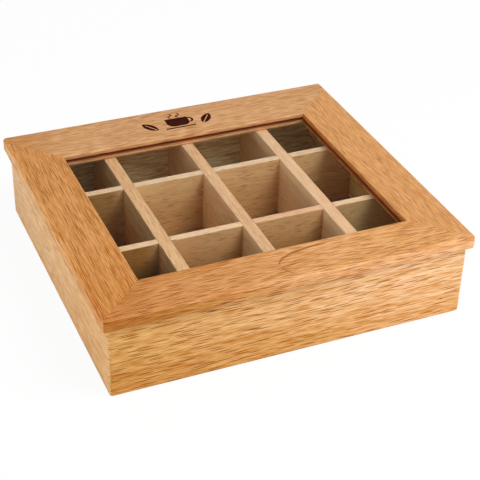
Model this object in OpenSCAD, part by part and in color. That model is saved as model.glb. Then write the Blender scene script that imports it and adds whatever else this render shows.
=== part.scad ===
// Wooden tea box: a mitred case with twelve compartments under a hinged lid that has a clear window.
// Millimetres. +X runs to the right, +Y to the rear and +Z up.
// The origin lies on the table under the middle of the lid's outline.

/* [Case] */
// Outside length of the case, from left to right
case_length = 325; // [260:1:420]
// Outside depth of the case, from front to back
case_depth = 301; // [240:1:380]
// Height of the case from the table to its rim
case_height = 69; // [50:1:100]
// Thickness of the four case boards
board = 11.5; // [11:0.5:16]
// Rounding of the case's four upright corners
case_corner = 3; // [1:0.5:6]
// Rounding of the case's bottom edge
case_foot_round = 3; // [0.5:0.5:4]

/* [Bottom panel] */
// Thickness of the bottom panel
panel = 4; // [3:0.5:6]
// Height of the panel's underside above the table
panel_lift = 5; // [4:0.5:10]
// Depth of the groove that holds the panel's edges
panel_groove = 5; // [3:0.5:6]
// Gap between the panel's edge and the end of its groove
panel_edge_gap = 0.5; // [0.2:0.1:1]

/* [Dividers] */
// Thickness of the three dividers that run from front to back
long_divider = 11.5; // [6:0.5:16]
// Thickness of the two dividers that run from left to right
cross_divider = 7; // [4:0.5:12]
// How far the dividers' tops lie below the rim
divider_drop = 0.5; // [0.2:0.1:4]
// Depth of the housings in the boards that hold the dividers' ends
housing = 3; // [2:0.5:4]
// Rounding of the dividers' top edges
divider_round = 0.8; // [0.3:0.1:1.5]

/* [Lid] */
// Thickness of the lid's rails
lid_thickness = 12; // [11:0.5:18]
// Width of the front and side rails
rail_width = 44.5; // [25:0.5:60]
// How much wider the rear rail is than the others
rear_rail_extra = 11; // [2:0.5:30]
// Overhang of the lid past each end of the case
side_overhang = 5; // [1:0.5:12]
// Overhang of the lid past the front of the case
front_overhang = 4; // [1:0.5:12]
// Overhang of the lid past the back of the case
rear_overhang = 5; // [4.5:0.5:6]
// Rounding of the lid's four upright corners
lid_corner = 3; // [2.5:0.5:8]
// Rounding of the lid's top edge
lid_top_round = 2.5; // [0.5:0.5:2.5]
// Rounding of the lid's lower edge
lid_under_round = 1.5; // [0.5:0.5:2]

/* [Window] */
// Thickness of the clear pane
pane = 2; // [1.5:0.5:3]
// Depth of the pane's top below the lid's top
pane_drop = 5.4; // [3:0.1:6]
// Depth of the groove that holds the pane's edges
pane_groove = 6; // [3:0.5:8]
// Gap between the pane's edge and the end of its groove
pane_edge_gap = 0.5; // [0.2:0.1:1]
// Rounding of the rails' top edge along the window
sight_round = 1.6; // [0.4:0.1:2.5]
// Rounding of the rails' lower edge along the window
sight_under_round = 1; // [0.4:0.1:1.5]

/* [Hinges] */
// Length of each hinge
hinge_length = 38; // [28:1:50]
// Distance from the end of the case to the middle of a hinge
hinge_inset = 57.5; // [38:0.5:90]
// Thickness of a hinge leaf
leaf = 1; // [0.8:0.1:1.4]
// Reach of a leaf from the hinge's axis
leaf_reach = 9; // [7.5:0.5:9]
// Distance of the hinge's axis behind the case's back face
axis_setback = 1; // [0.6:0.1:1.4]
// Radius of the hinge's knuckles
knuckle_radius = 2; // [1.8:0.1:2.4]
// Radius of the hinge pin
pin_radius = 1; // [0.7:0.1:1.1]

/* [Screws] */
// Distance between the two screws of a leaf
screw_spacing = 24; // [14:1:26]
// Distance of the screws from the hinge's axis
screw_reach = 5; // [4.4:0.1:5.8]
// Length of a hinge screw with its head
screw_length = 9; // [6:0.5:10]
// Radius of a screw's shank
screw_radius = 0.9; // [0.7:0.1:1.1]
// Radius of a screw's flat head
screw_head_radius = 1.8; // [1.5:0.1:2]
// Height of a screw's tapered head
screw_head_height = 0.8; // [0.5:0.1:0.8]
// Width of the slot in a screw's head
screw_slot = 0.5; // [0.3:0.1:0.6]

/* [Burnt motif] */
// Width of the cup's bowl
cup_width = 23; // [16:1:30]
// Height of the cup's bowl
cup_height = 16; // [12:0.5:20]
// Length of the saucer under the cup
saucer_length = 31; // [24:1:36]
// Length of each leaf beside the cup
sprig_length = 21; // [12:1:26]
// Width of each leaf beside the cup
sprig_width = 9.5; // [6:0.5:12]
// Distance of the leaves from the cup's middle
sprig_offset = 29; // [26:1:60]
// Depth of the burnt recess
motif_depth = 0.4; // [0.2:0.1:1]

/* [Fits] */
// Play of a divider in a housing or a lap, across its thickness
divider_fit = 0.2; // [0.1:0.05:0.4]
// Gap at the end of a divider and above a lap
end_gap = 0.1; // [0.05:0.05:0.3]
// Play of the panel and the pane in their grooves
groove_fit = 0.15; // [0.1:0.05:0.3]
// Gap from each leaf to the plane where lid and case meet
leaf_gap = 0.1; // [0.05:0.05:0.2]
// Gap round a leaf and its knuckles in the wood
mortise_gap = 0.25; // [0.15:0.05:0.4]
// Gap between the pin and its bore, on the radius
pin_gap = 0.05; // [0.03:0.01:0.1]
// Gap between neighbouring knuckles along the pin
knuckle_gap = 0.2; // [0.1:0.05:0.4]
// Gap round a screw in its leaf and its pilot hole
screw_gap = 0.05; // [0.03:0.01:0.15]

/* [Hidden] */
$fn = 48;

// Reach of a cutting solid past the face that it cuts
past = 1;

lid_length = case_length + 2 * side_overhang;
lid_depth = case_depth + front_overhang + rear_overhang;
lid_top = case_height + lid_thickness;

case_front = front_overhang - lid_depth / 2;
case_back = case_front + case_depth;
case_middle = (case_front + case_back) / 2;
inner_length = case_length - 2 * board;
inner_depth = case_depth - 2 * board;
panel_top = panel_lift + panel;

divider_top = case_height - divider_drop;
divider_height = divider_top - panel_top;
lap_level = panel_top + divider_height / 2;
bay_length = (inner_length - 3 * long_divider) / 4;
bay_depth = (inner_depth - 2 * cross_divider) / 3;
long_pitch = bay_length + long_divider;
cross_pitch = bay_depth + cross_divider;
long_places = [-long_pitch, 0, long_pitch];
cross_places = [case_middle - cross_pitch / 2, case_middle + cross_pitch / 2];

window_half = lid_length / 2 - rail_width;
window_front = rail_width - lid_depth / 2;
window_back = lid_depth / 2 - rail_width - rear_rail_extra;
window_middle = (window_front + window_back) / 2;
window_depth = window_back - window_front;
pane_level = lid_top - pane_drop - pane;

hinge_place = case_length / 2 - hinge_inset;
hinge_axis = case_back + axis_setback;
knuckle_length = (hinge_length - 2 * knuckle_gap) / 3;
motif_middle = (window_back + lid_depth / 2) / 2 - 1.5;

wood_lid = "#CF955A";
wood_case = "#DBB07A";
wood_divider = "#DDB583";
wood_panel = "#B98B5B";
metal = "#C6A253";

// Section of an edge strip: a rectangle whose outer corners at +X are rounded
module edge_section(width, height, top_round, foot_round) {
    difference() {
        square([width, height]);
        if (top_round > 0)
            translate([width - top_round, height - top_round])
                difference() {
                    square(top_round + past);
                    circle(top_round);
                }
        if (foot_round > 0)
            translate([width - foot_round, foot_round])
                mirror([0, 1])
                    difference() {
                        square(foot_round + past);
                        circle(foot_round);
                    }
    }
}

// Slab with rounded upright corners and rounded top and bottom edges, middle of its underside at the origin
module slab(length, depth, height, corner, top_round, foot_round) {
    top = min(top_round, corner);
    foot = min(foot_round, corner);
    x = length / 2 - corner;
    y = depth / 2 - corner;
    translate([-x, -y, 0])
        cube([2 * x, 2 * y, height]);
    for (side = [0, 180])
        rotate([0, 0, side]) {
            translate([0, y, 0])
                rotate([90, 0, 90])
                    linear_extrude(2 * x, center = true)
                        edge_section(corner, height, top, foot);
            translate([x, 0, 0])
                rotate([90, 0, 0])
                    linear_extrude(2 * y, center = true)
                        edge_section(corner, height, top, foot);
            for (end = [-1, 1])
                translate([end * x, y, 0])
                    rotate_extrude()
                        edge_section(corner, height, top, foot);
        }
}

// Cutter that rounds an edge along X at the origin, for a solid on the side of -Y and -Z
module edge_cutter(length, round_radius) {
    rotate([90, 0, 90])
        linear_extrude(length, center = true)
            translate([-round_radius, -round_radius])
                difference() {
                    square(round_radius + past);
                    circle(round_radius);
                }
}

// Plan of a mitred front or side piece: its outer edge at y = 0 from corner to corner, its inner edge at +Y
module mitred_plan(length, width) {
    polygon([
        [-length / 2 - past, -past],
        [length / 2 + past, -past],
        [length / 2 - width, width],
        [width - length / 2, width]
    ]);
}

// Case boards
module case_blank() {
    translate([0, case_middle, 0])
        slab(case_length, case_depth, case_height, case_corner, 0, case_foot_round);
}

module panel_slot() {
    translate([0, case_middle, panel_lift + (panel + groove_fit) / 2])
        cube([inner_length + 2 * panel_groove, inner_depth + 2 * panel_groove, panel + groove_fit], center = true);
}

module long_housings() {
    for (x = long_places)
        translate([x - (long_divider + divider_fit) / 2, case_middle - inner_depth / 2 - housing, panel_top])
            cube([long_divider + divider_fit, inner_depth + 2 * housing, case_height]);
}

module cross_housings() {
    for (y = cross_places)
        translate([-inner_length / 2 - housing, y - (cross_divider + divider_fit) / 2, panel_top])
            cube([inner_length + 2 * housing, cross_divider + divider_fit, case_height]);
}

module case_board(turn, length, reach) {
    intersection() {
        case_blank();
        translate([0, case_middle, 0])
            rotate([0, 0, turn])
                translate([0, -reach, -past])
                    linear_extrude(case_height + 2 * past)
                        mitred_plan(length, board);
    }
}

module front_board() {
    color(wood_case)
        difference() {
            case_board(0, case_length, case_depth / 2);
            panel_slot();
            long_housings();
        }
}

module back_board() {
    color(wood_case)
        difference() {
            case_board(180, case_length, case_depth / 2);
            panel_slot();
            long_housings();
            for (side = [-1, 1])
                at_hinge(side)
                    leaf_mortise(-1);
        }
}

module left_board() {
    color(wood_case)
        difference() {
            case_board(-90, case_depth, case_length / 2);
            panel_slot();
            cross_housings();
        }
}

module right_board() {
    color(wood_case)
        difference() {
            case_board(90, case_depth, case_length / 2);
            panel_slot();
            cross_housings();
        }
}

module bottom_panel() {
    reach = 2 * (panel_groove - panel_edge_gap);
    color(wood_panel)
        translate([0, case_middle, panel_lift + panel / 2])
            cube([inner_length + reach, inner_depth + reach, panel], center = true);
}

// Divider along X with rounded top edges, standing on the panel
module divider_blank(length, thickness) {
    translate([0, 0, panel_top])
        rotate([90, 0, 90])
            linear_extrude(length, center = true)
                for (side = [0, 1])
                    mirror([side, 0])
                        edge_section(thickness / 2, divider_height, divider_round, 0);
}

module long_divider_at(x) {
    color(wood_divider)
        difference() {
            translate([x, case_middle, 0])
                rotate([0, 0, 90])
                    divider_blank(inner_depth + 2 * (housing - end_gap), long_divider);
            for (y = cross_places)
                translate([x - long_divider, y - (cross_divider + divider_fit) / 2, panel_top - past])
                    cube([2 * long_divider, cross_divider + divider_fit, lap_level + end_gap - panel_top + past]);
        }
}

module cross_divider_at(y) {
    color(wood_divider)
        difference() {
            translate([0, y, 0])
                divider_blank(inner_length + 2 * (housing - end_gap), cross_divider);
            for (x = long_places)
                translate([x - (long_divider + divider_fit) / 2, y - cross_divider, lap_level])
                    cube([long_divider + divider_fit, 2 * cross_divider, divider_height]);
        }
}

module long_divider_left() {
    long_divider_at(long_places[0]);
}

module long_divider_middle() {
    long_divider_at(long_places[1]);
}

module long_divider_right() {
    long_divider_at(long_places[2]);
}

module cross_divider_front() {
    cross_divider_at(cross_places[0]);
}

module cross_divider_rear() {
    cross_divider_at(cross_places[1]);
}

// Lid rails
module lid_blank() {
    translate([0, 0, case_height])
        slab(lid_length, lid_depth, lid_thickness, lid_corner, lid_top_round, lid_under_round);
}

module pane_slot() {
    translate([0, window_middle, pane_level + (pane + groove_fit) / 2])
        cube([2 * (window_half + pane_groove), window_depth + 2 * pane_groove, pane + groove_fit], center = true);
}

// Rounded edges of one rail along the window, for a rail on the side of -Y
module sight_edges(length) {
    translate([0, 0, lid_top])
        edge_cutter(length, sight_round);
    translate([0, 0, case_height])
        mirror([0, 0, 1])
            edge_cutter(length, sight_under_round);
}

// Plan of the right rail, mitred at both ends of the window
module side_rail_plan() {
    polygon([
        [window_half, window_front],
        [lid_length / 2 + past, window_front - rail_width - past],
        [lid_length / 2 + past, window_back + rail_width + past],
        [window_half, window_back]
    ]);
}

// Plan of the rear rail: mitred against the side rails, then full width behind them
module rear_rail_plan() {
    polygon([
        [-window_half, window_back],
        [window_half, window_back],
        [window_half + rail_width, window_back + rail_width],
        [lid_length / 2 + past, window_back + rail_width],
        [lid_length / 2 + past, lid_depth / 2 + past],
        [-lid_length / 2 - past, lid_depth / 2 + past],
        [-lid_length / 2 - past, window_back + rail_width],
        [-window_half - rail_width, window_back + rail_width]
    ]);
}

module lid_front_rail() {
    color(wood_lid)
        difference() {
            intersection() {
                lid_blank();
                translate([0, -lid_depth / 2, case_height - past])
                    linear_extrude(lid_thickness + 2 * past)
                        mitred_plan(lid_length, rail_width);
            }
            pane_slot();
            translate([0, window_front, 0])
                sight_edges(lid_length);
        }
}

module lid_rear_rail() {
    color(wood_lid)
        difference() {
            intersection() {
                lid_blank();
                translate([0, 0, case_height - past])
                    linear_extrude(lid_thickness + 2 * past)
                        rear_rail_plan();
            }
            pane_slot();
            translate([0, window_back, 0])
                rotate([0, 0, 180])
                    sight_edges(lid_length);
            for (side = [-1, 1])
                at_hinge(side)
                    leaf_mortise(1);
            translate([0, motif_middle, lid_top - motif_depth])
                linear_extrude(motif_depth + past)
                    motif();
        }
}

module lid_right_rail() {
    color(wood_lid)
        difference() {
            intersection() {
                lid_blank();
                translate([0, 0, case_height - past])
                    linear_extrude(lid_thickness + 2 * past)
                        side_rail_plan();
            }
            pane_slot();
            translate([window_half, window_middle, 0])
                rotate([0, 0, 90])
                    sight_edges(lid_depth);
        }
}

module lid_left_rail() {
    mirror([1, 0, 0])
        lid_right_rail();
}

module window_pane() {
    reach = pane_groove - pane_edge_gap;
    color([0.85, 0.92, 0.9, 0.3])
        translate([0, window_middle, pane_level + pane / 2])
            cube([2 * (window_half + reach), window_depth + 2 * reach, pane], center = true);
}

// Burnt motif: a cup on a saucer with a curl of steam, between two leaves
module motif_leaf() {
    arc = (sprig_length * sprig_length + sprig_width * sprig_width) / (4 * sprig_width);
    vein = sprig_width / 10;
    difference() {
        intersection() {
            translate([0, arc - sprig_width / 2])
                circle(arc, $fn = 96);
            translate([0, sprig_width / 2 - arc])
                circle(arc, $fn = 96);
        }
        translate([-sprig_length / 2 - past, -vein / 2])
            square([sprig_length * 0.8 + past, vein]);
    }
}

module half_ring(radius, stroke) {
    difference() {
        circle(radius + stroke / 2);
        circle(radius - stroke / 2);
        translate([stroke / 20, -radius - stroke])
            square(2 * (radius + stroke));
    }
}

module motif_cup() {
    stroke = 2.2;
    bowl = cup_width / 2;
    base = -cup_height / 2 - 3;
    rim = base + 3.6 + cup_height;
    translate([-saucer_length / 2, base])
        square([saucer_length, stroke]);
    difference() {
        translate([-bowl, rim - cup_height])
            square([cup_width, cup_height]);
        for (side = [0, 1])
            mirror([side, 0])
                translate([bowl * 0.4, rim - cup_height + bowl * 0.6])
                    mirror([0, 1])
                        difference() {
                            square(bowl * 0.6 + past);
                            circle(bowl * 0.6);
                        }
    }
    translate([bowl - 0.3, rim - cup_height * 0.42])
        mirror([1, 0])
            half_ring(cup_height * 0.26, stroke);
    for (place = [-4, 4])
        translate([place, rim + 3.4]) {
            half_ring(1.9, 1.4);
            translate([0, 3.8])
                mirror([1, 0])
                    half_ring(1.9, 1.4);
        }
}

module motif() {
    motif_cup();
    for (side = [0, 1])
        mirror([side, 0])
            translate([sprig_offset, -1])
                rotate([0, 0, 55])
                    motif_leaf();
}

// Hinges
module at_hinge(side) {
    translate([side * hinge_place, hinge_axis, case_height])
        children();
}

module along_axis(radius, length) {
    rotate([0, 90, 0])
        cylinder(h = length, r = radius, center = true);
}

// Places of the two screws of a leaf
module at_screws() {
    for (side = [-1, 1])
        translate([side * screw_spacing / 2, -screw_reach, 0])
            children();
}

// Screw that points to +Z, with the top of its head on the leaf's outer face
module screw_body(gap, extra) {
    cylinder(h = screw_head_height, r1 = screw_head_radius + gap, r2 = screw_radius + gap);
    cylinder(h = screw_length + extra, r = screw_radius + gap);
}

module screw() {
    difference() {
        screw_body(0, 0);
        translate([-screw_head_radius - past, -screw_slot / 2, -past])
            cube([2 * (screw_head_radius + past), screw_slot, past + screw_head_height / 2]);
    }
}

// Pocket in the wood for one leaf, its knuckles and its screws: face 1 is the lid, face -1 the case
module leaf_mortise(face) {
    length = hinge_length + 2 * mortise_gap;
    mirror([0, 0, face > 0 ? 0 : 1]) {
        translate([-length / 2, -leaf_reach - mortise_gap, -past])
            cube([length, leaf_reach + mortise_gap, leaf_gap + leaf + past]);
        at_screws()
            translate([0, 0, leaf_gap])
                cylinder(h = screw_length + 2 * end_gap, r = screw_radius + screw_gap);
    }
    along_axis(knuckle_radius + mortise_gap, length);
}

// Leaf on the side of +Z: the upper leaf has the middle knuckle, the lower leaf the two outer ones
module hinge_leaf(upper) {
    outer_place = knuckle_length + knuckle_gap;
    own = upper ? [0] : [-outer_place, outer_place];
    other = upper ? [-outer_place, outer_place] : [0];
    color(metal)
        difference() {
            union() {
                translate([-hinge_length / 2, -leaf_reach, leaf_gap])
                    cube([hinge_length, leaf_reach, leaf]);
                for (x = own)
                    translate([x, 0, 0])
                        along_axis(knuckle_radius, knuckle_length);
            }
            for (x = other)
                translate([x, 0, 0])
                    along_axis(knuckle_radius + mortise_gap, knuckle_length + 2 * knuckle_gap);
            along_axis(pin_radius + pin_gap, hinge_length + 2 * past);
            at_screws()
                translate([0, 0, leaf_gap])
                    screw_body(screw_gap, past);
        }
}

module lower_leaf_at(side) {
    at_hinge(side)
        mirror([0, 0, 1])
            hinge_leaf(false);
}

module upper_leaf_at(side) {
    at_hinge(side)
        hinge_leaf(true);
}

module pin_at(side) {
    color(metal)
        at_hinge(side)
            along_axis(pin_radius, hinge_length);
}

module hinge_left_lower_leaf() {
    lower_leaf_at(-1);
}

module hinge_right_lower_leaf() {
    lower_leaf_at(1);
}

module hinge_left_upper_leaf() {
    upper_leaf_at(-1);
}

module hinge_right_upper_leaf() {
    upper_leaf_at(1);
}

module hinge_left_pin() {
    pin_at(-1);
}

module hinge_right_pin() {
    pin_at(1);
}

module hinge_upper_screws() {
    color(metal)
        for (side = [-1, 1])
            at_hinge(side)
                at_screws()
                    translate([0, 0, leaf_gap])
                        screw();
}

module hinge_lower_screws() {
    color(metal)
        for (side = [-1, 1])
            at_hinge(side)
                mirror([0, 0, 1])
                    at_screws()
                        translate([0, 0, leaf_gap])
                            screw();
}

front_board();
back_board();
left_board();
right_board();
bottom_panel();
long_divider_left();
long_divider_middle();
long_divider_right();
cross_divider_front();
cross_divider_rear();
hinge_left_lower_leaf();
hinge_right_lower_leaf();
hinge_left_pin();
hinge_right_pin();
hinge_lower_screws();
lid_front_rail();
lid_rear_rail();
lid_left_rail();
lid_right_rail();
window_pane();
hinge_left_upper_leaf();
hinge_right_upper_leaf();
hinge_upper_screws();
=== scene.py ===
# %% [markdown]
# # A wooden tea box with a window in its lid
#
# The box is a low mitred case with twelve compartments. Its hinged lid is a frame of four mitred rails round a clear
# pane. All of it is made to size in CAD, and each CAD solid has its true shape, so this lesson adds no new shapes: it
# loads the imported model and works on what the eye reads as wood, glass and brass.
#
# Each board gets its own material, because no two boards of a real box are cut from the same place in the tree.
# One recipe makes them all. It builds a small model of a log, and every board is a cut through it.

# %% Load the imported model
import math

import bmesh
import bpy
from mathutils import Matrix, Vector

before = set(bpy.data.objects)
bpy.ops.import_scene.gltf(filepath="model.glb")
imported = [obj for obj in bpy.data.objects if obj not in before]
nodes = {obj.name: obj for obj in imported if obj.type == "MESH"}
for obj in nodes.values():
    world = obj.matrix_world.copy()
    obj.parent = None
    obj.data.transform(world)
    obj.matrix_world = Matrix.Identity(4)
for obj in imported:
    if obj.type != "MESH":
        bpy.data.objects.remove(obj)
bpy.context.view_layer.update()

# %% [markdown]
# ## The camera
#
# A render can be laid beside its photograph only if both are taken from the same place. A camera could be moved by
# hand until the edges agree. This one was solved from straight lines that the photograph shows, which is closer: the
# lid's edges, the window and the foot of the case. A lens of about 96 mm on a 36 mm sensor stands 1.2 m away and
# looks down by about 34 degrees. Three turns set it: which way it faces, how far it is lifted from looking straight
# down, and a small tilt of the picture.

# %% Place the camera
scene = bpy.context.scene
scene.view_settings.view_transform = "Standard"
lens = bpy.data.cameras.new("camera")
lens.lens = 95.947
lens.sensor_width = 36.0
lens.clip_start = 0.05
camera = bpy.data.objects.new("camera", lens)
scene.collection.objects.link(camera)
stand = Matrix.Translation((-0.38662, -0.91165, 0.68158))
heading = Matrix.Rotation(math.radians(-23.746), 4, "Z")
lift = Matrix.Rotation(math.radians(56.294), 4, "X")
picture_tilt = Matrix.Rotation(math.radians(1.5775), 4, "Z")
camera.matrix_world = stand @ heading @ lift @ picture_tilt
scene.camera = camera
print("camera looks along", [round(v, 4) for v in camera.matrix_world.to_quaternion() @ Vector((0, 0, -1))])

# %% [markdown]
# ## Helpers for colours and nodes
#
# Colours are written as sRGB hex values, as a colour picker shows them. The shader works in linear light, so one
# function turns them. A second one adds a node with its settings and its links in one call, because a long material
# is easier to read as a list of such calls than as a picture of wires. Where it is given a node instead of a socket,
# it takes the first output that the node has in use. Sockets are called by name, or by number where names repeat.

# %% Colours and nodes
MIX_SHARE, MIX_FIRST, MIX_SECOND = 0, 6, 7  # a Mix node's factor and its two colours


def linear(hex_colour):
    channels = [int(hex_colour[i:i + 2], 16) / 255 for i in (1, 3, 5)]
    return [c / 12.92 if c <= 0.04045 else ((c + 0.055) / 1.055) ** 2.4 for c in channels] + [1.0]


def put(tree, kind, inputs=None, **settings):
    node = tree.nodes.new("ShaderNode" + kind)
    for name, value in settings.items():
        setattr(node, name, value)
    for key, value in (inputs or {}).items():
        if isinstance(value, bpy.types.Node):
            value = next(socket for socket in value.outputs if socket.enabled)
        if isinstance(value, bpy.types.NodeSocket):
            tree.links.new(value, node.inputs[key])
        else:
            node.inputs[key].default_value = value
    return node


def empty_material(name):
    material = bpy.data.materials.new(name)
    material.use_nodes = True
    material.node_tree.nodes.clear()
    return material, material.node_tree


print("mid grey in linear light:", [round(v, 4) for v in linear("#808080")[:3]])

# %% [markdown]
# ## The studio's soft light
#
# The photograph has a pure white background and soft light. A picture of a studio could light the box, but a plain
# white world does the same without a file. The background is white by its own colour: rays from the camera see a
# plain white world. Rays that a gloss or the glass sends on see it white near the horizon and grey overhead, as a
# studio's ceiling is, so that the pane doesn't turn milky.

# %% World
SOFT_LIGHT, CEILING = 0.42, 0.03
white = linear("#FFFFFF")
world = bpy.data.worlds.new("white_studio")
scene.world = world
world.use_nodes = True
sky = world.node_tree
sky.nodes.clear()
ray = put(sky, "LightPath").outputs
up = put(sky, "SeparateXYZ", {0: put(sky, "TexCoord").outputs["Generated"]}).outputs["Z"]
overhead = put(sky, "MapRange", {"Value": up, "From Min": 0.05, "From Max": 0.45, "To Min": 1.0, "To Max": CEILING},
               interpolation_type="SMOOTHSTEP")
soft_light = put(sky, "Background", {"Color": white, "Strength": SOFT_LIGHT})
ceiling = put(sky, "Background", {"Color": white, "Strength": overhead})
plain_white = put(sky, "Background", {"Color": white, "Strength": 1.0})
sent_on = put(sky, "Math", {0: ray["Is Glossy Ray"], 1: ray["Is Transmission Ray"]}, operation="MAXIMUM")
unseen = put(sky, "MixShader", {0: sent_on, 1: soft_light, 2: ceiling})
seen = put(sky, "MixShader", {0: ray["Is Camera Ray"], 1: unseen, 2: plain_white})
put(sky, "OutputWorld", {"Surface": seen})
print("world:", world.name)

# %% [markdown]
# ## The lamps
#
# The main lamp stands high up at the front right. Its place was read from the shadows inside the compartments. A sun
# would make their edges hard, so each lamp is a wide disk. Two low ones light the upright faces of the case without
# reaching into the window.


# %% Lamps
def area_lamp(name, place, aim, size, watts):
    light = bpy.data.lights.new(name, "AREA")
    light.shape = "DISK"
    light.size = size
    light.energy = watts
    lamp = bpy.data.objects.new(name, light)
    scene.collection.objects.link(lamp)
    away = (Vector(place) - Vector(aim)).to_track_quat("Z", "Y")
    lamp.matrix_world = Matrix.Translation(place) @ away.to_matrix().to_4x4()


area_lamp("key", place=(0.73, -0.86, 1.71), aim=(0, 0, 0.06), size=1.2, watts=30.0)
area_lamp("low_right", place=(0.66, -0.70, 0.14), aim=(0.1, 0, 0.04), size=0.26, watts=1.9)
area_lamp("low_left", place=(-1.1, -0.1, 0.14), aim=(0, 0, 0.04), size=0.28, watts=4.4)

# %% [markdown]
# ## The floor
#
# The box stands on a sweep of matt white paper, which shows no sheen and no line at the horizon. A bent sheet could
# be modelled, but a flat square is enough, because its surface is mixed for the camera with a plain white glow. So it
# meets the white background without a line, and the paper's share still darkens softly under the box.

# %% Floor
FLOOR_REACH = 4.0
GLOW_SHARE = 0.94
square = bmesh.new()
bmesh.ops.create_grid(square, x_segments=1, y_segments=1, size=FLOOR_REACH)
floor_mesh = bpy.data.meshes.new("floor")
square.to_mesh(floor_mesh)
square.free()
floor = bpy.data.objects.new("floor", floor_mesh)
scene.collection.objects.link(floor)
sweep, tree = empty_material("white_paper_sweep")
ray = put(tree, "LightPath").outputs
paper = put(tree, "BsdfDiffuse", {"Color": linear("#F6F6F6")})
glow = put(tree, "Emission", {"Color": white, "Strength": 1.0})
seen_ray = put(tree, "Math", {0: ray["Is Camera Ray"], 1: ray["Is Transmission Ray"]}, operation="MAXIMUM")
share = put(tree, "Math", {0: seen_ray, 1: GLOW_SHARE}, operation="MULTIPLY")
put(tree, "OutputMaterial", {"Surface": put(tree, "MixShader", {0: share, 1: paper, 2: glow})})
floor_mesh.materials.append(sweep)
print("floor:", [tuple(v.co) for v in floor_mesh.vertices], "with", sweep.name)

# %% [markdown]
# ## Stains and painted shade
#
# Real boards aren't the same all over: a mark is burnt in, a knot shows, varnish lies thicker on the outside. The
# same soft boxes also paint shade: ends that are darker partly by painted shade, a dark line of painted shadow where
# a rail meets the pane, walls that darken low down in the compartments. Such things could be painted on the mesh, but
# the CAD's meshes stay as they are. So each one is a soft box in the object's own space, given in metres, inside
# which the colour is multiplied by a tone.

# %% Soft boxes for stains and painted shade
FAR = 1.0  # metres, well past the end of every board


def stain_and_shade(tone, soft, x=(-FAR, FAR), y=(-FAR, FAR), z=(-FAR, FAR)):
    """A tone, how softly it ends (one number, or one for each axis), and where it lies."""
    low, high = zip(x, y, z)
    return tone, soft if isinstance(soft, tuple) else (soft, soft, soft), low, high


def soft_box(tree, point, soft, low, high):
    """1 inside the box and 0 outside it, with a smooth step as wide as soft on both sides of its faces."""
    middle = [(a + b) / 2 for a, b in zip(low, high)]
    half = [(b - a) / 2 for a, b in zip(low, high)]
    past = put(tree, "VectorMath", {0: point, 1: middle}, operation="SUBTRACT")
    past = put(tree, "VectorMath", {0: past}, operation="ABSOLUTE")
    past = put(tree, "VectorMath", {0: past, 1: half}, operation="SUBTRACT")
    past = put(tree, "VectorMath", {0: past, 1: soft}, operation="DIVIDE")
    past_x, past_y, past_z = put(tree, "SeparateXYZ", {0: past}).outputs
    most = put(tree, "Math", {0: past_x, 1: past_y}, operation="MAXIMUM")
    most = put(tree, "Math", {0: most, 1: past_z}, operation="MAXIMUM")
    return put(tree, "MapRange", {"Value": most, "From Min": -1.0, "From Max": 1.0, "To Min": 1.0, "To Max": 0.0},
               interpolation_type="SMOOTHSTEP")


print("a stain on everything:", stain_and_shade("#FFFFFF", 0.01))

# %% [markdown]
# ## Varnished wood
#
# The wood looks like rubberwood under a clear satin varnish: a pale tan ground, soft growth bands, fine streaks, and
# many short brown dashes where the saw has opened the pores.
#
# It could be made from a flat picture of grain, but that would stop at each edge. Here every point of a board is
# looked up in a solid pattern that is stretched along the board's own grain, so the streaks run on over the edges, as
# they do in a real board. In that pattern X runs along the grain, Y across the board's face and Z through it, all in
# millimetres.
#
# ### Fibres
#
# Wood is a bundle of long fibres. A noise gives them when it is stretched to the length and width over which the
# wood stays about the same. Each board and each size takes it from a place of its own, so that no two look alike.
# A real fibre is only 0.03 mm wide, too fine to show here, so the finest ones are drawn nearly 1 mm wide.

# %% Fibres
# The length and width of each kind, in millimetres. The width of the bands is chosen for each board.
WAVE, RING_WOBBLE, MOTTLE, PORE_GROUP = (220, 60), (60, 18), (55, 20), (120, 9)
STREAK, FINE = (26, 0.85), (12, 0.9)
BAND_LENGTH = 160


def fibres(tree, seed, vector, length, width, detail=2.0):
    shift = length + width
    place = [seed * 7.3 + shift, seed * 3.1 - shift, seed * 5.7 + 2 * shift]
    stretch = put(tree, "Mapping", {"Vector": vector, "Location": place,
                                    "Scale": (1 / length, 1 / width, 1 / width)})
    return put(tree, "TexNoise", {"Vector": stretch, "Scale": 1.0, "Detail": detail})


print("fine fibres: %g x %g mm, streaks: %g x %g mm" % (FINE + STREAK))

# %% [markdown]
# ### Growth rings
#
# Each year the tree adds a ring, whose wood darkens slowly and ends with a quick step. Rings could be drawn as
# stripes, but stripes never close. Here they are the distance from the log's heart, which lies at a slant to the
# board: that gives the pointed loops that joiners call cathedral grain.

# %% Growth rings
EARLY_ENDS, LATE_ENDS = 0.2, 0.95  # shares of a ring's width
UNEVEN = 5.0  # how far the rings are pushed out of round, in millimetres


def growth_rings(tree, seed, flow, heart, slope, ring):
    """0 in early wood, 1 in late wood. The heart's place is given across the board, through it and along it."""
    across, through, along = heart
    from_heart = put(tree, "VectorMath", {0: flow, 1: (-along, -across, -through)}, operation="ADD")
    length, side, height = put(tree, "SeparateXYZ", {0: from_heart}).outputs
    height = put(tree, "Math", {0: length, 1: slope, 2: height}, operation="MULTIPLY_ADD")
    spoke = put(tree, "CombineXYZ", {"Y": side, "Z": height})
    radius = put(tree, "VectorMath", {0: spoke}, operation="LENGTH").outputs["Value"]
    wobble = fibres(tree, seed, flow, *RING_WOBBLE)
    radius = put(tree, "Math", {0: wobble, 1: UNEVEN, 2: radius}, operation="MULTIPLY_ADD")
    years = put(tree, "Math", {0: radius, 1: ring}, operation="DIVIDE")
    year = put(tree, "Math", {0: years}, operation="FRACT")
    darkens = put(tree, "MapRange", {"Value": year, "From Min": EARLY_ENDS, "From Max": LATE_ENDS})
    step = put(tree, "MapRange", {"Value": year, "From Min": LATE_ENDS, "From Max": 1.0,
                                  "To Min": 1.0, "To Max": 0.0})
    return put(tree, "Math", {0: darkens, 1: step}, operation="MULTIPLY")


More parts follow.
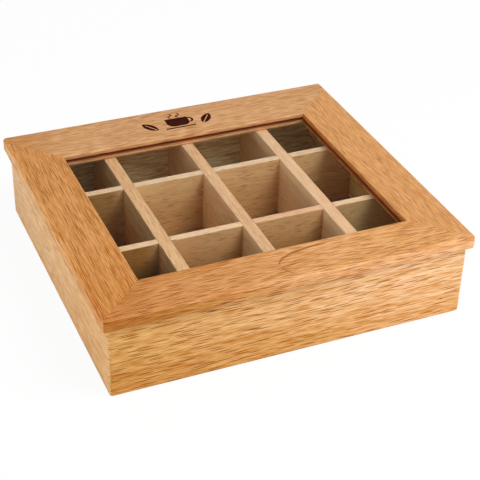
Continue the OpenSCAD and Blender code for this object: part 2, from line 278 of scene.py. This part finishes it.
print("a ring darkens from %g to %g of its width" % (EARLY_ENDS, LATE_ENDS))

# %% [markdown]
# ### Tone
#
# Bands, streaks, fine fibres and cloudy mottles add up to one number between the board's light and its dark colour.
# Each could have its own pair of colours, but real wood varies along one line of colour, so one pair is truer. A
# noise seldom leaves 0.3 to 0.7, so each has a weight of 2 to 3, and the sum is brought back to the middle.

# %% Tone
BAND_WEIGHT, STREAK_WEIGHT, FINE_WEIGHT, MOTTLE_WEIGHT = 2.6, 3.0, 2.6, 2.0
USUAL_LATE = 0.4  # what growth_rings gives on average


def wood_tone(tree, seed, flow, fine, late, bands, band, streaks, mottle, rings):
    weights = (BAND_WEIGHT * bands, STREAK_WEIGHT * streaks, FINE_WEIGHT)
    cloudy = MOTTLE_WEIGHT * mottle
    tones = put(tree, "CombineXYZ", {"X": fibres(tree, seed, flow, BAND_LENGTH, band),
                                     "Y": fibres(tree, seed, flow, *STREAK), "Z": fine})
    tone = put(tree, "VectorMath", {0: tones, 1: weights}, operation="DOT_PRODUCT").outputs["Value"]
    even = 0.5 - 0.5 * (sum(weights) + cloudy) - USUAL_LATE * rings
    tone = put(tree, "Math", {0: tone, 1: even}, operation="ADD")
    clouds = fibres(tree, seed, flow, *MOTTLE)
    tone = put(tree, "Math", {0: clouds, 1: cloudy, 2: tone}, operation="MULTIPLY_ADD")
    return put(tree, "Math", {0: late, 1: rings, 2: tone}, operation="MULTIPLY_ADD", use_clamp=True)


print("fine fibres take the tone through %.2f of its range" % (FINE_WEIGHT * (0.7 - 0.3)))

# %% [markdown]
# ### Pores
#
# A saw opens the pores of the wood, and each shows as a short dark dash. They could be real grooves, but there are
# thousands of them. So each cell of a stretched pattern holds one thin dash. Some dashes are fainter, and they come
# in groups. A pore of rubberwood is 0.2 mm wide, too fine to show here, so the dashes are drawn about half a
# millimetre wide.
#
# The pattern is flat, because one with depth would be cut at a slant by the board's faces, and few of its dashes
# would be whole. It is turned by half a right angle, away from the arris that shows, so that the faces and the edges
# get dashes of one width.

# %% Pores
DASH_CORE, DASH_RIM = 0.11, 0.23  # shares of a cell's width, from the middle of the dash
FAINTEST = 0.2


def open_pores(tree, seed, flow, across, pores, pore_size, grouping):
    """How much a pore darkens the wood here. The size is that of a dash's cell: its length and width."""
    length, width = pore_size
    lean = math.radians(45 if sum(across) < 0 else -45)
    narrow = 1.414 / width  # across the diagonal
    place = put(tree, "Mapping", {"Vector": flow, "Location": (seed, 2 * seed, 0), "Rotation": (lean, 0, 0),
                                  "Scale": (1 / length, narrow, narrow)})
    cells = put(tree, "TexVoronoi", {"Vector": place, "Scale": 1.0}, voronoi_dimensions="2D").outputs
    dash = put(tree, "MapRange", {"Value": cells["Distance"], "From Min": DASH_CORE, "From Max": DASH_RIM,
                                  "To Min": 1.0, "To Max": 0.0})
    dark = put(tree, "MapRange", {"Value": cells["Color"], "From Min": 0.3, "From Max": 0.65, "To Min": FAINTEST})
    group = put(tree, "MapRange", {"Value": fibres(tree, seed, flow, *PORE_GROUP), "From Min": 0.38,
                                   "From Max": 0.62, "To Min": grouping})
    dark = put(tree, "Math", {0: dark, 1: group}, operation="MULTIPLY")
    mark = put(tree, "Math", {0: dash, 1: dark}, operation="MULTIPLY")
    return put(tree, "Math", {0: mark, 1: pores}, operation="MULTIPLY", use_clamp=True)


print("in cells 1.6 mm wide the dashes are %.2f mm wide" % (1.6 * (DASH_CORE + DASH_RIM)))

# %% [markdown]
# ### A growth line that stands out
#
# On one rail a single ring shows as a brown arch. A ring of the log model could be made darker, but it would be hard
# to bring to the right place. So the arch is drawn as what it is in plan, a parabola with its top against the grain,
# about 2 mm wide, and it fades out along its arms.

# %% Growth line
LINE_CORE, LINE_RIM = 0.4, 1.7  # millimetres from the middle of the line
LINE_STRENGTH = 0.8


def growth_line(tree, flow, start, side, turned, opening, reach):
    """How much the line darkens the wood. start and side place its top, along and across the board."""
    from_top = put(tree, "VectorMath", {0: flow, 1: (-start, -side, 0)}, operation="ADD")
    along, across = put(tree, "SeparateXYZ", {0: from_top}).outputs[:2]
    off = put(tree, "Math", {0: along, 1: turned, 2: across}, operation="MULTIPLY_ADD")
    off = put(tree, "Math", {0: off}, operation="ABSOLUTE")
    arm = put(tree, "Math", {0: along, 1: 0.0}, operation="MAXIMUM")
    arm = put(tree, "Math", {0: arm, 1: opening}, operation="MULTIPLY")
    arm = put(tree, "Math", {0: arm}, operation="SQRT")
    gap = put(tree, "Math", {0: off, 1: arm}, operation="SUBTRACT")
    gap = put(tree, "Math", {0: gap}, operation="ABSOLUTE")
    line = put(tree, "MapRange", {"Value": gap, "From Min": LINE_CORE, "From Max": LINE_RIM,
                                  "To Min": LINE_STRENGTH, "To Max": 0.0})
    # The near arm fades sooner than the far one
    away = put(tree, "Math", {0: across, 1: -1.5, 2: along}, operation="MULTIPLY_ADD")
    ends = put(tree, "MapRange", {"Value": away, "From Min": 0.4 * reach, "From Max": reach,
                                  "To Min": 1.0, "To Max": 0.0})
    starts = put(tree, "Math", {0: along, 1: 0.0}, operation="GREATER_THAN")
    shown = put(tree, "Math", {0: ends, 1: starts}, operation="MULTIPLY")
    return put(tree, "Math", {0: line, 1: shown}, operation="MULTIPLY")


print("the growth line is %.1f mm wide" % (LINE_CORE + LINE_RIM))

# %% [markdown]
# ### The whole recipe
#
# Here the parts come together. The fibres wander a little from the straight line, and all the other patterns follow
# them. The varnish could be a clear coat on top, but it is thin and satin, so one broad, weak sheen says the same. It
# sinks into the open pores: they are a little lower and duller than the wood round them.
#
# grain and across say which way the board lies. seed, heart, slope and ring say where in the log it was cut. rings,
# bands, streaks, mottle and pores say how strong each pattern is. band, pore_size and wander are widths and lengths
# in millimetres.

# %% The recipe for varnished wood
MM = 1000  # in a metre, the unit of the CAD


def varnished_wood(name, grain, across, light, dark, pore, seed, heart, slope=0.03, ring=9.0, rings=0.3,
                   bands=0.3, band=5.0, streaks=0.8, mottle=0.3, pores=0.8, pore_size=(29, 1.6), grouping=0.3,
                   wander=3.0, arch=None, stains_and_shade=(), roughness=0.5):
    material, tree = empty_material(name)
    point = put(tree, "TexCoord").outputs["Object"]
    turn = Matrix((grain, across, grain.cross(across))).to_euler()
    board = put(tree, "Mapping", {"Vector": point, "Rotation": turn, "Scale": (MM, MM, MM)})
    wave = fibres(tree, seed, board, *WAVE, detail=1.0).outputs["Color"]
    wave = put(tree, "VectorMath", {0: wave, 1: (0.5, 0.5, 0.5)}, operation="SUBTRACT")
    swing = 3 * wander  # the noise uses about a third of it
    flow = put(tree, "VectorMath", {0: wave, 1: (0, swing, swing), 2: board}, operation="MULTIPLY_ADD")

    fine = fibres(tree, seed, flow, *FINE)
    late = growth_rings(tree, seed, flow, heart, slope, ring)
    tone = wood_tone(tree, seed, flow, fine, late, bands, band, streaks, mottle, rings)
    colour = put(tree, "Mix", {MIX_SHARE: tone, MIX_FIRST: linear(light), MIX_SECOND: linear(dark)},
                 data_type="RGBA")
    mark = open_pores(tree, seed, flow, across, pores, pore_size, grouping)
    if arch:
        mark = put(tree, "Math", {0: mark, 1: growth_line(tree, flow, **arch)}, operation="MAXIMUM")
    colour = put(tree, "Mix", {MIX_SHARE: mark, MIX_FIRST: colour, MIX_SECOND: linear(pore)}, data_type="RGBA")
    for shade, soft, low, high in stains_and_shade:
        here = soft_box(tree, point, soft, low, high)
        colour = put(tree, "Mix", {MIX_SHARE: here, MIX_FIRST: colour, MIX_SECOND: linear(shade)},
                     data_type="RGBA", blend_type="MULTIPLY")

    height = put(tree, "Math", {0: mark, 1: -0.6, 2: fine}, operation="MULTIPLY_ADD")
    relief = put(tree, "Bump", {"Height": height, "Strength": 0.15, "Distance": 0.0001})
    gloss = put(tree, "MapRange", {"Value": height, "From Min": -0.5, "From Max": 0.8,
                                   "To Min": roughness + 0.12, "To Max": roughness - 0.06})
    surface = put(tree, "BsdfPrincipled", {"Base Color": colour, "Roughness": gloss, "IOR": 1.45,
                                           "Specular IOR Level": 0.12, "Normal": relief})
    put(tree, "OutputMaterial", {"Surface": surface})
    return material


def dress(node, material):
    nodes[node].material_slots[0].material = material
    print("  %-22s %s" % (node, material.name))


ALONG_X, ALONG_Y, ALONG_Z = Vector((1, 0, 0)), Vector((0, 1, 0)), Vector((0, 0, 1))
print("ready to dress", len(nodes), "nodes")

# %% [markdown]
# ## The lid's rails
#
# The four rails lie flat, with the grain along each of them, and meet in mitres. The varnish has warmed them to an
# orange tan. One material could serve all four, but each rail is cut from its own place in the tree, so each gets its
# own, and the mitres show as a clean change of direction.
#
# Two painted shades belong to all rails: below the pane, inside the window, the wood is painted richer and darker,
# as shade and light off the other wood would make it, and a dark line of painted shadow marks the gap where the rail
# meets the pane. The front rail is warmer on its top than on its front edge, and darker towards its left end, partly
# by its own tone and partly by painted shade. The rear rail carries a burnt-in mark: the CAD has cut it 0.4 mm deep,
# and here its floor is charred.

# %% Stains round the window
# Where the window is, a little wider than its opening, and how far the groove of the pane reaches
window_x, window_y = (-0.1236, 0.1236), (-0.1111, 0.1001)
groove_x, groove_y = (-0.1320, 0.1320), (-0.1190, 0.1080)
SHARP = 0.0003
# Painted shade: the faces inside the window, above and below the pane, are darkened and warmed, and a dark line of
# painted shadow lies where the gap round the pane would be in shade.
shade_inside_window = stain_and_shade("#EED2B6", (SHARP, SHARP, 0.0004), window_x, window_y, (0.0755, 0.0802))
shade_under_pane = stain_and_shade("#DCC2A0", (SHARP, SHARP, 0.0012), window_x, window_y, (0.0722, 0.0770))
shaded_pane_gap = stain_and_shade("#722200", (SHARP, SHARP, 0.0008), groove_x, groove_y, (0.0733, 0.0771))
side_shaded_pane_gap = stain_and_shade("#7D3304", (SHARP, SHARP, 0.0012), groove_x, groove_y, (0.0704, 0.0738))
rail_painted_shade = [shaded_pane_gap, shade_under_pane]
side_rail_painted_shade = [side_shaded_pane_gap, shade_under_pane, shade_inside_window]
print("stains on each rail:", len(rail_painted_shade), "and on each side rail:", len(side_rail_painted_shade))

# %% Front rail
edge_y, edge_z = (-FAR, -0.1536), (-FAR, 0.0795)  # its front edge, up to the middle of the rounding
# Partly the rail's own tone and partly painted shade: the rail darkens towards its left end, and its front edge more
# so.
front_rail_tone_and_shade = [
    stain_and_shade("#DFC195", 0.14, x=(-0.3, -0.09)),
    stain_and_shade("#EBE2AC", (0.09, 0.001, 0.001), (-FAR, -0.03), edge_y, edge_z),
    stain_and_shade("#F9FDFF", 0.001, y=edge_y, z=edge_z),
    stain_and_shade("#FFFFEE", 0.0005, z=(0.08, FAR))]
dress("lid_front_rail", varnished_wood(
    "satin_rubberwood_lid_front", ALONG_X, ALONG_Y, light="#ECB586", dark="#C78548", pore="#8D4602", seed=1,
    heart=(-131, 20, 30), slope=0.05, rings=0.15, mottle=0.15, streaks=0.6, pores=1.9, pore_size=(32, 1.5),
    grouping=0.7, arch=dict(start=-8.0, side=-135.3, turned=0.27, opening=22.0, reach=36.0),
    stains_and_shade=rail_painted_shade + front_rail_tone_and_shade))

# %% Rear rail
burnt_mark = stain_and_shade("#4A1402", 0.00002, (-0.040, 0.040), (0.112, 0.147), (0.0795, 0.08085))
rear_rail_stains = [
    stain_and_shade("#F2E3C7", 0.022, x=(-FAR, -0.135)),
    stain_and_shade("#FEFAF2", 0.02, x=(-FAR, -0.08)),
    stain_and_shade("#FAF5EE", 0.02, x=(-0.08, FAR))]
dress("lid_rear_rail", varnished_wood(
    "satin_rubberwood_lid_rear", ALONG_X, ALONG_Y, light="#E7B788", dark="#C58E5B", pore="#8B4802", seed=2,
    heart=(160, 20, 0), rings=0.15, streaks=0.5, mottle=0.1, pores=1.5, pore_size=(32, 1.2),
    stains_and_shade=rail_painted_shade + rear_rail_stains + [burnt_mark]))

# %% Side rails
dress("lid_left_rail", varnished_wood(
    "satin_rubberwood_lid_left", ALONG_Y, -ALONG_X, light="#E2B682", dark="#C28542", pore="#8A4701", seed=3,
    heart=(100, 21, 0), bands=0.15, streaks=0.3, mottle=0.1, pores=1.6, pore_size=(60, 1.25), grouping=0.8,
    wander=2.0, stains_and_shade=side_rail_painted_shade + [stain_and_shade("#F7ECD8", 0.06, y=(-FAR, -0.08)),
                                           stain_and_shade("#FFEBD1", 0.0008, z=(0.0798, FAR))]))
dress("lid_right_rail", varnished_wood(
    "satin_rubberwood_lid_right", ALONG_Y, -ALONG_X, light="#E6AD71", dark="#C5854C", pore="#8B4401", seed=4,
    heart=(-143, 75, 60), slope=0.12, ring=5, rings=0.1, bands=0.15, streaks=0.4, pores=0.8, pore_size=(38, 1.2),
    stains_and_shade=side_rail_painted_shade + [stain_and_shade("#FBFAF9", 0.06, y=(-FAR, 0.03))]))

# %% [markdown]
# ## The case
#
# The four boards of the case stand on edge. Their outside is varnished like the lid, but nobody varnishes the inside
# of such a box as richly, so there they are paler. Each board could be split into an outer and an inner piece, but a
# seam would show. So each keeps one wood, and a stain darkens it as varnish does, all but the last 0.15 mm before its
# inner face.

# %% Coats of varnish
COAT_EDGE = 0.00005
varnish = "#EFCEBF"
coat_front = stain_and_shade(varnish, COAT_EDGE, y=(-FAR, -0.13965))
coat_back = stain_and_shade("#EFC098", COAT_EDGE, y=(0.13865, FAR))
coat_left = stain_and_shade(varnish, COAT_EDGE, x=(-FAR, -0.15115))
coat_right = stain_and_shade(varnish, COAT_EDGE, x=(0.15115, FAR))
print("coats:", coat_front, coat_back, coat_left, coat_right, sep="\n  ")

# %% Front board
# Partly the board's own tone and partly painted shade: the board darkens towards its left end. It is also a little
# darker low down, most of all in the middle.
front_board_tone_and_shade = [
    stain_and_shade("#EDE0AE", 0.17, x=(-0.3, -0.02)),
    stain_and_shade("#F4EAD4", 0.02, z=(-FAR, 0.026)),
    stain_and_shade("#FDFCF1", 0.02, x=(-0.06, 0.06), z=(-FAR, 0.026))]
knot = stain_and_shade("#A06830", (0.0012, 0.01, 0.0008), x=(0.1409, 0.1429), z=(0.0186, 0.0198))
dress("front_board", varnished_wood(
    "satin_rubberwood_case_front", ALONG_X, ALONG_Z, light="#FDF5D2", dark="#DBB367", pore="#996104", seed=5,
    heart=(-30, 90, 0), ring=8, bands=0.27, band=3.6, streaks=0.5, pores=2.6, pore_size=(38, 1.7), grouping=0.6,
    wander=1.2, stains_and_shade=[coat_front] + front_board_tone_and_shade + [knot]))

# %% Back and side boards
dress("back_board", varnished_wood(
    "satin_rubberwood_case_back", ALONG_X, -ALONG_Z, light="#FFFED7", dark="#D4B577", pore="#996305", seed=6,
    heart=(-90, 80, 0), slope=-0.05, bands=0.45, band=3.6, pores=0.5, stains_and_shade=[coat_back]))
dress("left_board", varnished_wood(
    "satin_rubberwood_case_left", ALONG_Y, -ALONG_Z, light="#F5F2CD", dark="#D7BD87", pore="#946105", seed=7,
    heart=(-120, 100, 0), rings=0.1, bands=0.2, streaks=0.7, pores=1.2,
    stains_and_shade=[coat_left, stain_and_shade("#F8F0DE", 0.12, y=(-FAR, -0.02))]))
dress("right_board", varnished_wood(
    "satin_rubberwood_case_right", ALONG_Y, ALONG_Z, light="#FFEDAC", dark="#D4A95E", pore="#995C03", seed=8,
    heart=(-40, 90, 0), stains_and_shade=[coat_right]))

# %% [markdown]
# ## The dividers
#
# The dividers have only a thin coat, so they stay pale, and their tops are a little browner than their walls. Low
# down in a compartment a wall gets little light, and most of that has come off other walls, so it looks browner too.
# Fewer or lower lamps would show that more, but they would spoil the outside. So a few soft stains darken the walls
# instead: one below the top, one near the bottom, and one at the left end, where the photograph is darkest.

# %% Stains for dividers
ARRIS = 0.0006  # a top's tone ends this softly at its edges
TOP_FROM, WALL_TO, LOW_TO = 0.0678, 0.0676, 0.044  # heights above the table


def on_top(tone, left=-FAR, right=FAR):
    return stain_and_shade(tone, (0.006, ARRIS, ARRIS), x=(left, right), z=(TOP_FROM, FAR))


def on_the_walls(tone, left=-FAR, right=FAR):
    return stain_and_shade(tone, (0.008, ARRIS, ARRIS), x=(left, right), z=(-FAR, WALL_TO))


def low_down(tone, left=-FAR, right=FAR):
    return stain_and_shade(tone, (0.008, ARRIS, 0.017), x=(left, right), z=(-FAR, LOW_TO))


plain_inside = dict(pore="#73410A", roughness=0.55, bands=0.15)
print("all dividers:", plain_inside)

# %% Long dividers
long_dividers = [
    ("long_divider_left", "#FFEDCB", "#E4C59E", [on_top("#F9DEC3"), on_the_walls("#FFF1D7"), low_down("#EFDDC8")]),
    ("long_divider_middle", "#FFEDCB", "#E4C59E", [on_top("#F7DCC7"), on_the_walls("#FFF2E2")]),
    ("long_divider_right", "#FFEDCB", "#F5D6AE", [on_top("#F8E2D2"), on_the_walls("#F6ECDD")])]
for number, (node, light, dark, stains_and_shade) in enumerate(long_dividers):
    dress(node, varnished_wood(
        "satin_rubberwood_" + node, ALONG_Y, ALONG_Z, light, dark, seed=9 + number,
        heart=(40 + 60 * number, -90, 0), slope=0.04, streaks=0.4, pores=0.5, stains_and_shade=stains_and_shade, **plain_inside))

# %% Cross dividers
# The cooler tones, on the walls at the right end and low down at the left end, are painted reflection: the greyish
# veil that the pane lays over them. They also darken those walls as painted shade.
cross_dividers = [
    ("cross_divider_front", "#F9DBB2", "#F7CB9D", [
        on_top("#F9E9E4", left=0.0, right=0.085),
        on_the_walls("#EBDCC0"), on_the_walls("#D0BA8F", right=-0.09), on_the_walls("#EAF7FD", left=0.084),
        low_down("#D4C8B8", right=0.084), low_down("#CBE3E5", right=-0.084)]),
    ("cross_divider_rear", "#F8DCB7", "#EBC59E", [
        on_the_walls("#F3E7C8"), on_the_walls("#CBBA9E", right=-0.09),
        low_down("#ECE5DB", left=-0.084), low_down("#F1EFEA", right=-0.084)])]
for number, (node, light, dark, stains_and_shade) in enumerate(cross_dividers):
    dress(node, varnished_wood(
        "satin_rubberwood_" + node, ALONG_X, ALONG_Z, light, dark, seed=12 + number,
        heart=(-30 + 130 * number, -90, 0), slope=-0.05, streaks=1.1, pores=0.8, pore_size=(19, 1.6),
        stains_and_shade=stains_and_shade, **plain_inside))

# %% [markdown]
# ## The bottom
#
# The bottom is a sheet of birch plywood, 4 mm thick, that lies in a groove of the four boards. Its face is peeled
# from the log, not sawn. It could have a recipe of its own, but so little of it shows that the same one serves: the
# log's heart lies far below, so the rings come out wide and wavy. It is bare, so it has less gloss.

# %% Bottom panel
dress("bottom_panel", varnished_wood(
    "birch_plywood_bottom", ALONG_X, ALONG_Y, light="#AE895B", dark="#906B40", pore="#583917", seed=15,
    heart=(30, -300, 0), slope=0.1, ring=14, roughness=0.6))

# %% [markdown]
# ## The pane
#
# The window is a clear sheet of glass 2 mm thick, with polished faces, held in a groove of the rails. It is true
# glass to the camera, so that it mirrors the room and bends what lies behind it a little. Light from the lamps would
# be slow to find its way through such glass, so for that light the shader is simply transparent.

# %% Clear pane
CLEAR = linear("#FEFEFE")
pane, tree = empty_material("clear_polished_glass")
ray = put(tree, "LightPath").outputs
glass = put(tree, "BsdfPrincipled", {"Base Color": CLEAR, "Roughness": 0.0, "IOR": 1.5, "Transmission Weight": 1.0})
straight = put(tree, "BsdfTransparent", {"Color": CLEAR})
lamp_ray = put(tree, "Math", {0: ray["Is Shadow Ray"], 1: ray["Is Diffuse Ray"]}, operation="MAXIMUM")
put(tree, "OutputMaterial", {"Surface": put(tree, "MixShader", {0: lamp_ray, 1: glass, 2: straight})})
dress("window_pane", pane)

# %% [markdown]
# ## The hinges
#
# Two small butt hinges of satin brass join the lid to the back board. Brass plate is brushed before it is lacquered.
# The brushing could be grooves in a bump, but they are far finer than a pixel. What the eye sees of them is a gloss
# and a colour that vary in lines, and a noise that is stretched along the hinge gives those: 17 mm long and, drawn
# coarser than the real ones, 0.3 mm wide.

# %% Brass
BRUSH_LINES = (60, 3000, 3000)  # in a metre, along the hinge and across it
brass, tree = empty_material("satin_brass_plate")
lines = put(tree, "Mapping", {"Vector": put(tree, "TexCoord").outputs["Object"], "Scale": BRUSH_LINES})
brushed = put(tree, "TexNoise", {"Vector": lines, "Scale": 1.0, "Detail": 2.0})
gloss = put(tree, "MapRange", {"Value": brushed, "To Min": 0.22, "To Max": 0.42})
tint = put(tree, "Mix", {MIX_SHARE: brushed, MIX_FIRST: linear("#CDA955"), MIX_SECOND: linear("#B8913F")},
           data_type="RGBA")
metal = put(tree, "BsdfPrincipled", {"Base Color": tint, "Metallic": 1.0, "Roughness": gloss})
put(tree, "OutputMaterial", {"Surface": metal})
for node in nodes:
    if node.startswith("hinge_"):
        dress(node, brass)

# %% [markdown]
# ## Finish
#
# The looks must not change the size. This last cell only brings the scene up to date.

# %% Finish
bpy.context.view_layer.update()
